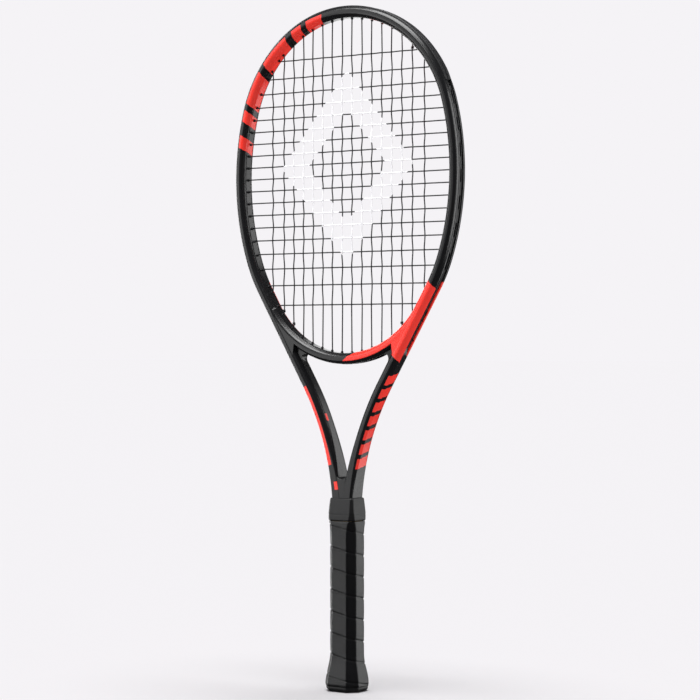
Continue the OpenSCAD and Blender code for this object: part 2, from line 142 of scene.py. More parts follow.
def makeLights(floor):
    sun = bpy.data.lights.new("overheadSun", "SUN")
    sun.energy = studio["sunPower"]
    sun.angle = math.radians(studio["sunAngle"])
    addObject("overheadSun", sun)
    # the softboxes leave the floor alone, so that it stays one even tone
    unlit = bpy.data.collections.new("keptFromSoftboxes")
    unlit.objects.link(floor)
    unlit.collection_objects[0].light_linking.link_state = "EXCLUDE"
    middle = Vector((0, 0, studio["aimHeight"]))
    for name, azimuth, elevation, distance, width, height, radiance in softboxes:
        lamp = bpy.data.lights.new(name, "AREA")
        lamp.shape = "RECTANGLE"
        lamp.size, lamp.size_y = width, height
        lamp.energy = radiance * math.pi * width * height
        box = addObject(name, lamp)
        a, e = math.radians(azimuth), math.radians(elevation)
        away = Vector((math.sin(a) * math.cos(e), -math.cos(a) * math.cos(e), math.sin(e)))
        box.location = middle + away * distance
        box.rotation_mode = "QUATERNION"
        box.rotation_quaternion = away.to_track_quat("Z", "Y")
        box.visible_camera = False
        box.light_linking.receiver_collection = unlit


makeCamera()
floor = makeFloor()
makeRoom()
makeLights(floor)
print("camera, floor and lights placed")

# outline of the head and throat, in mm
outline = {
    "length": 685.8, "tube": 11.2, "beam": 20.0, "neckBeam": 21.6, "guardProud": 0.75,
    "arcs": [(122.2, 42.3), (129.3, 32.6), (264.6, 33.8)],    # radius and turn, from the tip down
    "cheekRadius": 154.2, "slant": 30.6, "neckRadius": 276.6, "neckHalf": 6.3,
    "handleLevels": (150.0, 120.0, 80.0, 50.0, 20.0), "drilled": 72.0, "bridgeTop": 338.2,
    "step": 3.0,                                              # distance between rings
}
halfT = outline["tube"] / 2
halfQ = outline["beam"] / 2
slant = math.radians(outline["slant"])
outDir = np.array([math.cos(slant), -math.sin(slant)])
downDir = np.array([-math.sin(slant), -math.cos(slant)])


def heading(a):
    return np.array([math.sin(a), math.cos(a)])


# each arc as centre, radius, first and last turn
def outlineArcs():
    made, turned, lastRadius = [], 0.0, outline["arcs"][0][0]
    centre = np.array([0.0, outline["length"] - halfT - outline["guardProud"] - lastRadius])
    for radius, turnDeg in outline["arcs"] + [(outline["cheekRadius"], None)]:
        centre = centre + (lastRadius - radius) * heading(turned)
        end = math.pi / 2 + slant if turnDeg is None else turned + math.radians(turnDeg)
        made.append((centre, radius, turned, end))
        turned, lastRadius = end, radius
    return made


arcs = outlineArcs()
cheekEnd = arcs[3][0] + arcs[3][1] * outDir
bendStartX = outline["neckHalf"] + outline["neckRadius"] * (1 - math.cos(slant))
straightLen = (cheekEnd[0] - bendStartX) / math.sin(slant)
bendStart = cheekEnd + straightLen * downDir
bendCentre = bendStart + outline["neckRadius"] * outDir


def halfPath():
    rows, run = [], 0.0
    for centre, radius, start, end in arcs:
        n = max(2, round((end - start) * radius / outline["step"]))
        for i in range(n):
            a = start + (end - start) * i / n
            rows.append((*(centre + radius * heading(a)), a, run + (a - start) * radius))
        run += (end - start) * radius
    n = round(straightLen / outline["step"])
    for i in range(n):
        d = straightLen * i / n
        rows.append((*(cheekEnd + d * downDir), math.pi / 2 + slant, run + d))
    run += straightLen
    n = round(slant * outline["neckRadius"] / outline["step"])
    for i in range(n):
        b = slant * (1 - i / n)
        p = bendCentre + outline["neckRadius"] * np.array([-math.cos(b), math.sin(b)])
        rows.append((*p, math.pi / 2 + b, run + (slant - b) * outline["neckRadius"]))
    run += slant * outline["neckRadius"]
    for z in (bendCentre[1], *outline["handleLevels"]):
        rows.append((outline["neckHalf"], z, math.pi / 2, run + bendCentre[1] - z))
    return rows


path = halfPath()


def runAt(z):
    for a, b in zip(path, path[1:]):
        if a[1] >= z > b[1]:
            return a[3] + (b[3] - a[3]) * (a[1] - z) / (a[1] - b[1])
    return path[-1][3]


def smooth(t):
    t = max(0.0, min(1.0, t))
    return t * t * (3 - 2 * t)


def mix(a, b, t):
    return a + (b - a) * t


# section of the tube, as outward and depth, its corners numbered from the inner face to the outer
section = {
    "flatHalf": 5.1, "crestHalf": 2.7, "grooveHalf": 3.2, "grooveDepth": 1.7,
    "neckTuck": 1.0, "neckFlat": 9.0, "handleDepth": 9.0,
    "faceRadius": 1.5, "crestRadius": 2.1, "lipRadius": 0.35, "bulge": 0.5, "bulgeAt": 0.45,
    # heights where the section changes, and the fade at the groove's end
    "headFrom": 185, "headBlend": 85, "shoulderFrom": 172, "shoulderTop": 192, "handleFlat": 6,
    "neckChamfer": 0.3, "grooveLead": 6, "grooveFade": 9,
}
# the zone that each corner has in the paint's map
zoneMarks = (0, 1, 2, 3, 3.5, 4, 5, 6, 7)


def tubeCorners(z, run, drop=0.0):
    k = smooth((z - section["headFrom"]) / section["headBlend"])
    neckQ, top, chamfer = outline["neckBeam"] / 2, section["shoulderTop"], section["neckChamfer"]
    low = smooth((z - section["shoulderFrom"]) / (top - section["shoulderFrom"]))
    q = (mix(section["handleDepth"], neckQ, low) if z < top else mix(neckQ, halfQ, k)) - drop
    t = mix(halfT - section["neckTuck"], halfT, k)
    s = (mix(section["handleFlat"], section["neckFlat"], low) if z < top
         else mix(section["neckFlat"], section["flatHalf"], k))
    si = mix(q - chamfer, section["flatHalf"], k)
    ci = mix(halfT - chamfer, section["crestHalf"], k)
    c, w = section["crestHalf"], section["grooveHalf"]
    drilledEnd = runAt(cheekEnd[1]) + outline["drilled"]
    fade = smooth((run - drilledEnd + section["grooveLead"]) / section["grooveFade"])
    g = max(0.02, section["grooveDepth"] * (1 - fade))
    rounding = [min(section["faceRadius"], q - si + 0.1), min(section["crestRadius"], halfT - ci + 0.2),
                section["crestRadius"], section["faceRadius"], section["faceRadius"],
                min(section["lipRadius"], g / 3), g / 4]
    # the outer bevel swells a little
    side = np.array([t - c, q - s])
    swell = np.array([side[1], -side[0]]) / np.linalg.norm(side) * section["bulge"] * k
    full = np.array([c, -q]) + side * section["bulgeAt"] + swell
    corners = [(-halfT, 0), (-halfT, -si), (-ci, -q), (c, -q), tuple(full), (t, -s), (t, -w),
               (t - g, -w), (t - g, 0)]
    return corners, rounding


def roundedProfile(corners, rounding):
    points = [(*corners[0], 0.0)]
    for i in range(1, len(corners) - 1):
        here, before, after = (Vector(corners[j]) for j in (i, i - 1, i + 1))
        backLen, onLen = (before - here).length, (after - here).length
        d = min(rounding[i - 1], backLen * 0.4, onLen * 0.4)
        a, b = here + (before - here) * d / backLen, here + (after - here) * d / onLen
        # a point just past each end of the rounding keeps the flats flat
        hold = d * 1.2
        mark = zoneMarks[i]
        backStep, onStep = mark - zoneMarks[i - 1], zoneMarks[i + 1] - mark
        points.append((*(here + (before - here) * hold / backLen), mark - backStep * hold / backLen))
        for t in (0, 1 / 3, 2 / 3, 1):
            p = a * (1 - t) ** 2 + here * 2 * t * (1 - t) + b * t * t
            zone = mark - backStep * d / backLen * (1 - t) if t < 0.5 else mark + onStep * d / onLen * t
            points.append((*p, zone))
        points.append((*(here + (after - here) * hold / onLen), mark + onStep * hold / onLen))
    points.append((*corners[-1], float(zoneMarks[len(corners) - 1])))
    return points


def newPiece(name, points, faces, zones=None, body="frame", material=None, sharpen=None):
    mesh = bpy.data.meshes.new(name)
    mesh.from_pydata([tuple(c * mm for c in p) for p in points], [], faces)
    if zones is not None:
        layer = mesh.uv_layers.new(name="paintPlace")
        layer.data.foreach_set("uv", np.array(zones, np.float32).ravel())
    return finishPiece(mesh, name, body, material, sharpen)


def finishPiece(mesh, name, body, material, sharpen=None):
    shape = bmesh.new()
    shape.from_mesh(mesh)
    bmesh.ops.recalc_face_normals(shape, faces=shape.faces)
    shape.to_mesh(mesh)
    shape.free()
    mesh.shade_smooth()
    if sharpen is not None:
        mesh.set_sharp_from_angle(angle=math.radians(sharpen))
    piece = addObject(name, mesh)
    if material is not None:
        mesh.materials.append(material)
    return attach(piece, body)


# four-sided faces between one ring of points and the next
def quads(count, size, closed=False):
    pairs = [(r * size, (r + 1) % count * size) for r in range(count if closed else count - 1)]
    return [(a + k, a + (k + 1) % size, b + (k + 1) % size, b + k) for a, b in pairs for k in range(size)]


def sweep(name, rows, profiles, side, **rest):
    count = len(profiles[0])
    loop = list(range(count)) + list(range(count - 2, 0, -1))
    size = len(loop)
    points, zones = [], []
    for (x, z, turn, _), profile in zip(rows, profiles):
        n = heading(turn)
        for k, j in enumerate(loop):
            out, depth, _ = profile[j]
            points.append((x + out * n[0], depth if k < count else -depth, z + out * n[1]))
    for r in range(len(rows) - 1):
        for k in range(size):
            nextK = (k + 1) % size
            front = 1 if k < count - 1 else -1
            for ring, kk in ((r, k), (r, nextK), (r + 1, nextK), (r + 1, k)):
                zones.append((rows[ring][3] * side(r) * front * mm, profiles[ring][loop[kk]][2]))
    faces = quads(len(rows), size)
    for r in (0, len(rows) - 1):
        faces.append(tuple(r * size + k for k in range(size)))
        zones += [(rows[r][3] * mm, 0)] * size
    return newPiece(name, points, faces, zones, **rest)


# paint: a mask is a list of zones in millimetres of run and section zones 0 to 7,
# each (run from, run to, zone from, zone to, slant, stripe pitch, stripe share)
def zoneMask(tree, run, zone, zones):
    total = None
    for start, stop, low, high, lean, pitch, share in zones:
        # math nodes in a row: name, operation, then numbers or the names of earlier ones
        steps = [("across", "MULTIPLY", "zone", lean), ("leaned", "ADD", "run", "across"),
                 ("inRun", "COMPARE", "leaned", (start + stop) / 2, (stop - start) / 2),
                 ("inZone", "COMPARE", "zone", (low + high) / 2, (high - low) / 2),
                 ("both", "MULTIPLY", "inRun", "inZone")]
        if pitch:
            steps += [("past", "SUBTRACT", "leaned", start), ("cycle", "FLOORED_MODULO", "past", pitch),
                      ("bar", "LESS_THAN", "cycle", pitch * share), ("both", "MULTIPLY", "both", "bar")]
        if total is not None:
            steps.append(("both", "MAXIMUM", "total", "both"))
        made = {"run": run, "zone": zone, "total": total}
        for name, operation, *given in steps:
            inputs = {i: made.get(value, value) for i, value in enumerate(given)}
            made[name] = addNode(tree, "ShaderNodeMath", {"operation": operation}, inputs).outputs[0]
        total = made["both"]
    return total


def grainBump(tree, shader, scale, strength, distance, kind="ShaderNodeTexNoise"):
    place = addNode(tree, "ShaderNodeTexCoord").outputs["Object"]
    detail = {"Detail": 3} if kind == "ShaderNodeTexNoise" else {}
    grain = addNode(tree, kind, None, detail, Vector=place, Scale=scale)
    bump = addNode(tree, "ShaderNodeBump", Height=grain.outputs[0], Strength=strength, Distance=distance)
    fill(tree, shader, {"Normal": bump.outputs["Normal"]})


# satin lacquer on carbon: near black, one soft even sheen, sprayed red blocks with crisp masked edges
paint = {
    "black": "#0d0d0f", "fleck": "#18181a", "red": "#fb3a2c", "deepRed": "#ec2c20",
    "roughness": 0.26, "fleckSize": 0.7, "cloudSize": 1000 / 18,
}


def lacquer(name, zones):
    material, tree, shader = newMaterial(name)
    places = addNode(tree, "ShaderNodeUVMap", {"uv_map": "paintPlace"})
    split = addNode(tree, "ShaderNodeSeparateXYZ", None, {0: places.outputs[0]})
    run = addNode(tree, "ShaderNodeMath", {"operation": "MULTIPLY"}, {0: split.outputs[0], 1: 1000})
    mask = zoneMask(tree, run.outputs[0], split.outputs[1], zones)
    place = addNode(tree, "ShaderNodeTexCoord").outputs["Object"]
    fleck = addNode(tree, "ShaderNodeTexNoise", Vector=place, Scale=1000 / paint["fleckSize"], Detail=2)
    cloud = addNode(tree, "ShaderNodeTexNoise", Vector=place, Scale=1000 / paint["cloudSize"], Detail=3)
    tones = []
    for noise, first, second in ((fleck, "black", "fleck"), (cloud, "deepRed", "red")):
        tones.append(addNode(tree, "ShaderNodeMix", {"data_type": "RGBA"}, {
            0: noise.outputs["Fac"], 6: toLinear(paint[first]), 7: toLinear(paint[second])}).outputs[2])
    colour = addNode(tree, "ShaderNodeMix", {"data_type": "RGBA"}, {0: mask, 6: tones[0], 7: tones[1]})
    rough = addNode(tree, "ShaderNodeMapRange", Value=cloud.outputs["Fac"],
                    To_Min=paint["roughness"] - 0.04, To_Max=paint["roughness"] + 0.06)
    # the lacquer lies in very shallow waves, as wide as the clouds in its tone
    bump = addNode(tree, "ShaderNodeBump", Height=cloud.outputs["Fac"], Strength=0.05, Distance=0.0005)
    fill(tree, shader, {"Base Color": colour.outputs[2], "Roughness": rough.outputs[0],
                        "Normal": bump.outputs["Normal"], "IOR": 1.5})
    return material


wedgeTop, wedgeLow = runAt(410), runAt(338)
barPitch, barShare, barLean, barCount = 15.4, 0.7, 0.6, 7
barTop = runAt(316)
barLow = barTop + barPitch * (barCount - 1 + barShare)
stripeTop, stripeLow = runAt(305), runAt(226)
# plain bars across the shoulder, from its crest over the whole inner flat
shoulderBars = [(30, 50), (57, 70), (79, 116), (125, 160), (167, 179), (193, 206)]
shoulderZones = [zone for near, far in shoulderBars
                 for zone in ((-far, -near, 0, 2.8, -2.0, 0, 0), (near, far, 0, 1.0, -2.0, 0, 0))]
frameZones = [
    # the red wedge at the lower side of the head, round the outer face and over the back edge
    (wedgeTop, wedgeLow, 0.9, 6.0, -1.6, 0, 0),
    (-wedgeLow, -wedgeTop, 3.6, 6.0, 0, 0, 0),
    # slanted bars down the outer face of the shaft, on over the middle of its outer flat
    (barTop, barLow, 3.4, 7.0, barLean, barPitch, barShare),
    # the same bars on the back half, whose zones count the other way from their meeting at 7
    (14 * barLean - barLow, 14 * barLean - barTop, 4.15, 7.0, barLean, barPitch, barShare),
    # stripe on the other shaft's crest
    (-stripeLow, -stripeTop, 2.45, 3.9, 0, 0, 0),
    *shoulderZones,
    # a plain tab on the inner face of the other shaft
    (-runAt(268), -runAt(275), 0.35, 1.0, 0, 0, 0),
    # and one on the neck
    (-runAt(201), -runAt(209), 2.02, 2.55, 0, 0, 0),
]
framePaint = lacquer("satinLacquerOnCarbon", frameZones)
bridgePaint = lacquer("satinLacquerOnBridge", [(24, 220, 1.0, 2.98, 8.0, 0, 0)])
# a slab has no map, so it reads as run 0 and zone 0: outside the plain zone, inside the red one
plainPaint = lacquer("satinLacquerPlain", [(-1, -0.9, 0, 0.1, 0, 0, 0)])
redPaint = lacquer("satinLacquerRed", [(-1, 1, -1, 1, 0, 0, 0)])

rightRows = path
leftRows = [(-x, z, -turn, run) for x, z, turn, run in reversed(path[1:])]
rows = leftRows + rightRows
profiles = [roundedProfile(*tubeCorners(z, run)) for _, z, _, run in rows]
half = len(leftRows)
tube = sweep("frameTube", rows, profiles, lambda r: -1 if r < half else 1, material=framePaint)
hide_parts("hoop_crown", "hoop_left", "hoop_right", "shaft_left", "shaft_right")
print("frame tube swept:", len(tube.data.polygons), "faces")

# throat bridge: one arc tangent to both shafts, its crest a hair under theirs where they merge
bridge = {
    "crestDrop": 0.12, "reach": 58.0, "steps": 76, "headLevel": 400,
    "gussetHalf": 4.9, "gussetRadius": 5.0, "gussetEdge": 0.6, "footBite": 1.5, "cornerBite": 2.5,
    "hollowSteps": 12,
}
innerP = cheekEnd - halfT * outDir
bridgeR = ((innerP[0] * math.cos(slant) - (innerP[1] - outline["bridgeTop"]) * math.sin(slant))
           / (1 - math.sin(slant)))
bridgeC = np.array([0.0, outline["bridgeTop"] + bridgeR])


# corner webs: their arc on the bridge in degrees from its middle, and their run down the shaft, in mm
web = {
    "overBridge": 1.3, "angles": (33.1, 35, 37.5, 40, 43, 46), "inShaft": 1.0,
    "alongShaft": (46, 58, 70, 79.5), "from": 4.0, "to": 9.86, "edge": 0.35,
}


def onBridge(radius, angle):
    return radius * math.sin(angle), bridgeC[1] - radius * math.cos(angle)


def makeBridge():
    rows = []
    for i in range(bridge["steps"] + 1):
        a = math.radians(bridge["reach"]) * (2 * i / bridge["steps"] - 1)
        r = bridgeR + halfT
        rows.append((*onBridge(r, a), math.pi - a, a * r))
    profiles = [roundedProfile(*tubeCorners(bridge["headLevel"], 0, bridge["crestDrop"])) for _ in rows]
    piece = sweep("throatBridge", rows, profiles, lambda r: 1, material=bridgePaint)
    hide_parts("throat_bridge")


def slab(name, outlinePoints, near, far, edge, **rest):
    n = len(outlinePoints)
    middle = np.mean(outlinePoints, axis=0)
    points = []
    for depth, shrink in ((near, edge), (near + edge, 0), (far - edge, 0), (far, edge)):
        for p in outlinePoints:
            d = middle - np.array(p)
            q = np.array(p) + d / np.linalg.norm(d) * shrink
            points.append((q[0], depth, q[1]))
    faces = quads(4, n) + [tuple(range(n)), tuple(range(3 * n, 4 * n))]
    return newPiece(name, points, faces, sharpen=35, **rest)


def makeGussets():
    radius, thick = bridge["gussetRadius"], outline["tube"]
    tangentP = bridgeC + bridgeR * outDir
    run = math.sqrt((bridgeR + thick + radius) ** 2 - (bridgeR - radius) ** 2)
    cornerRun = math.sqrt((bridgeR + thick) ** 2 - bridgeR ** 2)
    corner, foot = tangentP + cornerRun * downDir, tangentP + run * downDir
    eye = foot - radius * outDir
    towards = (bridgeC - eye) / np.linalg.norm(bridgeC - eye)
    start, end = math.atan2(towards[1], towards[0]), math.atan2(outDir[1], outDir[0])
    sweepBy = (end - start + math.pi) % (2 * math.pi) - math.pi
    angles = [start + sweepBy * i / bridge["hollowSteps"] for i in range(bridge["hollowSteps"] + 1)]
    hollow = [eye + radius * np.array([math.cos(a), math.sin(a)]) for a in angles]
    footBite, bite, deep = bridge["footBite"], bridge["cornerBite"], bridge["gussetHalf"]
    points = hollow + [foot + footBite * outDir, corner + bite * outDir, corner + bite * towards,
                       hollow[0] + footBite * towards]
    for name, side in (("cornerGussetRight", 1), ("cornerGussetLeft", -1)):
        piece = slab(name, [(side * p[0], p[1]) for p in points], -deep, deep, bridge["gussetEdge"],
                     material=plainPaint)
        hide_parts("throat_fillets")


# the front and back skins run on between bridge and shaft, down to a point over the recessed gusset
def makeWebs():
    r = bridgeR + halfT + web["overBridge"]
    arc = [onBridge(r, a) for a in np.radians(web["angles"])]
    onShaft = [cheekEnd + t * downDir - web["inShaft"] * outDir for t in web["alongShaft"]]
    points = arc + onShaft
    for name, side, face in (("webFrontRight", 1, -1), ("webFrontLeft", -1, -1),
                             ("webBackRight", 1, 1), ("webBackLeft", -1, 1)):
        near, far = sorted((face * web["from"], face * web["to"]))
        piece = slab(name, [(side * p[0], p[1]) for p in points], near, far, web["edge"],
                     material=redPaint if side * face < 0 else plainPaint)
        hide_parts("throat_fillets")


neck = {"levels": (186, 192, 198, 204, 210, 213, 214.5), "dip": 2.5, "bite": 0.8, "inset": 0.2, "edge": 0.3}


def makeNeckFiller():
    reach = outline["neckRadius"] + halfT
    top, near = neck["levels"][-1], neck["inset"] - outline["neckBeam"] / 2

    def inner(z):
        return bendCentre[0] - math.sqrt(reach ** 2 - (z - bendCentre[1]) ** 2) + neck["bite"]
    rightSide = [(inner(z), z) for z in neck["levels"]]
    dip = [(inner(top) * t, top - neck["dip"] * (1 - t * t)) for t in (0.6, 0.2, -0.2, -0.6)]
    piece = slab("neckFiller", rightSide + dip + [(-x, z) for x, z in reversed(rightSide)],
                 near, -near, neck["edge"], material=plainPaint)
    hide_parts("neck_wedge")


makeBridge()
makeGussets()
makeWebs()
makeNeckFiller()
print("throat made")

# moulded nylon: matt black with a fine spark-eroded texture, scuffed paler in patches
nylon = {"black": "#17171a", "scuff": "#3a3a3d", "roughness": 0.5}


def mouldedNylon():
    material, tree, shader = newMaterial("matteMouldedNylon")
    grainBump(tree, shader, 1400, 0.25, 0.0002)
    place = addNode(tree, "ShaderNodeTexCoord").outputs["Object"]
    wear = addNode(tree, "ShaderNodeTexNoise", Vector=place, Scale=60, Detail=6)
    share = addNode(tree, "ShaderNodeMapRange", Value=wear.outputs["Fac"],
                    From_Min=0.55, From_Max=0.8, To_Max=0.5)
    tone = addNode(tree, "ShaderNodeMix", {"data_type": "RGBA"},
                   {0: share.outputs[0], 6: toLinear(nylon["black"]), 7: toLinear(nylon["scuff"])})
    fill(tree, shader, {"Base Color": tone.outputs[2], "Roughness": nylon["roughness"]})
    return material


nylonMaterial = mouldedNylon()

# string holes, from the same rules as the frame: mouth point and direction through the tube
strings = {
    "diameter": 1.3, "mainPitch": 11.9, "crossPitch": 12.0, "firstCross": 49.6,
    "mains": 8, "crosses": 19, "bridgeMains": 5, "guardCrosses": 3, "sides": 8, "perGap": 6,
    # how the pitch opens out, as an amount and its ratio from string to string
    "mainSpread": (0.55, 5.0), "topSpread": (5.9, 0.477), "lowSpread": (8.2, 0.63),
    "mouthIn": 1.9, "loopLift": 0.65, "overlap": 0.7, "weaveGap": 0.03, "clear": 2,
    # mains that reach further, through the throat's corner
    "cornerExtra": {5: 9, 6: 4},
}
stringR = strings["diameter"] / 2
mouth = halfT + strings["mouthIn"]
loopN = halfT - section["grooveDepth"] + strings["loopLift"] + stringR
tubeReach = mouth + halfT - section["grooveDepth"]


# half the mains' places across, and the crosses' heights
def stringPlaces():
    spread, ratio = strings["mainSpread"]
    across = [strings["mainPitch"] * (i + 0.5) + spread * ratio ** (i - 6) for i in range(strings["mains"])]
    (top, topRatio), (low, lowRatio) = strings["topSpread"], strings["lowSpread"]
    heights = [outline["length"] - strings["firstCross"]]
    for i in range(strings["crosses"] - 1):
        opening = top * topRatio ** i + low * lowRatio ** (17 - i)
        heights.append(heights[-1] - (strings["crossPitch"] + opening))
    return across, heights


mainX, crossZ = stringPlaces()
mouthP = cheekEnd - mouth * outDir


def arcHole(k, turn):
    centre, radius, _, _ = arcs[k]
    return (*(centre + (radius - mouth) * heading(turn)), *heading(turn), turn)


def topHole(x):
    for k in (0, 1):
        turn = math.asin((x - arcs[k][0][0]) / (arcs[k][1] - mouth))
        if turn <= arcs[k][3]:
            return arcHole(k, turn)


def straightHole(x, z):
    return (x, z, *outDir, math.pi / 2 + slant)


def bottomHole(i):
    x = mainX[i]
    if i == strings["mains"] - 1:
        return straightHole(x, mouthP[1] - (mouthP[0] - x) / math.tan(slant))
    r = bridgeR - (mouth - halfT)
    a = math.asin(x / r)
    return (x, bridgeC[1] - r * math.cos(a), math.sin(a), -math.cos(a), -1)


def sideHole(z):
    if z <= mouthP[1]:
        return straightHole(mouthP[0] - (mouthP[1] - z) * math.tan(slant), z)
    for k in (1, 2, 3):
        turn = math.acos(max(-1.0, (z - arcs[k][0][1]) / (arcs[k][1] - mouth)))
        if turn <= arcs[k][3]:
            return arcHole(k, turn)


topHoles = [topHole(x) for x in mainX]
bottomHoles = [bottomHole(i) for i in range(strings["mains"])]
sideHoles = [sideHole(z) for z in crossZ]


def outlineStrip(name, sectionAt, start, stop, side, **rest):
    rows = [row for row in path if start <= row[3] <= stop]
    if start < 0:
        rows = [(-x, z, -turn, -run) for x, z, turn, run in reversed(path[1:]) if run <= -start] + rows
    rows = [(x * side, z, turn * side, run) for x, z, turn, run in rows]
    return loopSweep(name, sectionAt, rows, **rest)


# each section is its half with positive depth, and is mirrored
def loopSweep(name, sectionAt, rows, **rest):
    points = []
    for r, (x, z, turn, _) in enumerate(rows):
        n, half = heading(turn), sectionAt(r, len(rows))
        loop = half + [(out, -depth) for out, depth in reversed(half[1:-1])]
        points += [(x + out * n[0], depth, z + out * n[1]) for out, depth in loop]
    size = len(points) // len(rows)
    faces = quads(len(rows), size)
    faces += [tuple(range(size)), tuple((len(rows) - 1) * size + k for k in range(size))]
    return newPiece(name, points, faces, **rest)


# the guard's half turn in degrees, and what the strips leave free, in mm
guard = {"end": 68.0, "endTaper": 5, "slotHalf": 1.5, "seat": 0.05, "stripGap": 1, "stripShort": 4}
firstTurn = outline["arcs"][0][1]
guardRun = arcs[1][1] * math.radians(guard["end"] - firstTurn) + arcs[0][1] * math.radians(firstTurn)


def guardSection(r, count):
    fade = smooth(min(r, count - 1 - r) / guard["endTaper"] + 0.25)
    low = halfT - section["grooveDepth"] + guard["seat"]
    high = halfT + outline["guardProud"] * fade
    floor = low + 0.55
    s = guard["slotHalf"]
    return [(low, 0), (low, 3.0), (halfT - 0.1, 3.1), (halfT - 0.1, 5.5), (mix(halfT, high, 0.55), 5.55),
            (high - 0.12, 5.35), (high, 4.9), (high, 3.2), (high, s + 0.5), (high - 0.15, s + 0.1),
            (floor + 0.3, s), (floor, s - 0.3), (floor, 0)]


def stripSection(r, count):
    low = halfT - section["grooveDepth"] + guard["seat"]
    return [(low, 0), (low, 2.8), (low + 0.15, 2.95), (low + 0.45, 2.9), (low + 0.6, 2.6), (low + 0.6, 0)]


def makeStrips():
    look = {"material": nylonMaterial, "sharpen": 50}
    bumper = outlineStrip("bumperGuard", guardSection, -guardRun, guardRun, 1, **look)
    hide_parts("bumper_guard")
    stop = runAt(cheekEnd[1]) + outline["drilled"] - guard["stripShort"]
    for name, node, side in (("grommetStripRight", "grommet_strip_right", 1),
                             ("grommetStripLeft", "grommet_strip_left", -1)):
        strip = outlineStrip(name, stripSection, guardRun + guard["stripGap"], stop, side, **look)
        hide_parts(node)
    last = math.asin(mainX[strings["bridgeMains"] - 1] / bridgeR) + math.radians(1.6)
    rows = [(*onBridge(bridgeR + halfT, a), math.pi - a, 0) for a in np.linspace(-last, last, 40)]
    strip = loopSweep("grommetStripThroat", stripSection, rows, **look)
    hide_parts("grommet_strip_throat")


makeStrips()
print("bumper and strips made")


# geometry nodes: one tree runs a round string along its lines, the other sets a grommet on each point
def newTree(name, inputs):
    tree = bpy.data.node_groups.new(name, "GeometryNodeTree")
    tree.interface.new_socket("Geometry", in_out="INPUT", socket_type="NodeSocketGeometry")
    for label, kind, value in inputs:
        socket = tree.interface.new_socket(label, in_out="INPUT", socket_type=kind)
        if value is not None:
            socket.default_value = value
    tree.interface.new_socket("Geometry", in_out="OUTPUT", socket_type="NodeSocketGeometry")
    return tree, addNode(tree, "NodeGroupInput").outputs


def endTree(tree, geometry, material):
    real = addNode(tree, "GeometryNodeRealizeInstances", Geometry=geometry)
    coated = addNode(tree, "GeometryNodeSetMaterial", Geometry=real.outputs[0], Material=material)
    addNode(tree, "NodeGroupOutput", Geometry=coated.outputs[0])


def stringTree():
    tree, given = newTree("runString", [
        ("Radius", "NodeSocketFloat", stringR * mm), ("Sides", "NodeSocketInt", strings["sides"]),
        ("Finish", "NodeSocketMaterial", None)])
    line = addNode(tree, "GeometryNodeMeshToCurve", Mesh=given["Geometry"])
    ring = addNode(tree, "GeometryNodeCurvePrimitiveCircle",
                   Resolution=given["Sides"], Radius=given["Radius"])
    skin = addNode(tree, "GeometryNodeCurveToMesh", Curve=line.outputs[0],
                   Profile_Curve=ring.outputs["Curve"], Fill_Caps=True)
    soft = addNode(tree, "GeometryNodeSetShadeSmooth", Geometry=skin.outputs[0])
    endTree(tree, soft.outputs[0], given["Finish"])
    return tree


grommet = {"rootRadius": 1.75, "tipRadius": 1.2, "length": 3.4, "sunk": 0.4}


def grommetTree():
    tree, given = newTree("setGrommets", [
        ("Root Radius", "NodeSocketFloat", grommet["rootRadius"] * mm),
        ("Tip Radius", "NodeSocketFloat", grommet["tipRadius"] * mm),
        ("Length", "NodeSocketFloat", grommet["length"] * mm), ("Finish", "NodeSocketMaterial", None)])
    cone = addNode(tree, "GeometryNodeMeshCone", Radius_Bottom=given["Tip Radius"],
                   Radius_Top=given["Root Radius"], Depth=given["Length"], Vertices=14, Side_Segments=3)
    aim = addNode(tree, "GeometryNodeInputNamedAttribute", {"data_type": "FLOAT_VECTOR"}, Name="aim")
    turned = addNode(tree, "FunctionNodeAlignRotationToVector", {"axis": "Z"}, Vector=aim.outputs[0])
    placed = addNode(tree, "GeometryNodeInstanceOnPoints", Points=given["Geometry"],
                     Instance=cone.outputs["Mesh"], Rotation=turned.outputs[0])
    endTree(tree, placed.outputs[0], given["Finish"])
    return tree


def grow(name, mesh, tree, values):
    source = addObject(name + "Source", mesh)
    modifier = source.modifiers.new("grow", "NODES")
    modifier.node_group = tree
    sockets = {s.name: s.identifier for s in tree.interface.items_tree if s.in_out == "INPUT"}
    for label, value in values.items():
        modifier[sockets[label]] = value
    evaluated = source.evaluated_get(bpy.context.evaluated_depsgraph_get())
    made = bpy.data.meshes.new_from_object(evaluated)
    made.name = name
    source.modifiers.clear()
    bpy.data.objects.remove(source)
    return finishPiece(made, name, "frame", None, 50)


def linesMesh(name, lines):
    points, edges = [], []
    for line in lines:
        edges += [(len(points) + i, len(points) + i + 1) for i in range(len(line) - 1)]
        points += [tuple(float(c) * mm for c in p) for p in line]
    mesh = bpy.data.meshes.new(name)
    mesh.from_pydata(points, edges, [])
    return mesh


# polyester monofilament: dark and slick; the ink of the stencil is chalky white
stringLook = {
    "dark": "#1b1b1e", "ink": "#f4f4f6", "roughness": 0.34,
    "stencilCentre": (0.0, 526.0), "stencilHalf": (80.0, 96.0), "bandInner": 0.6,
}


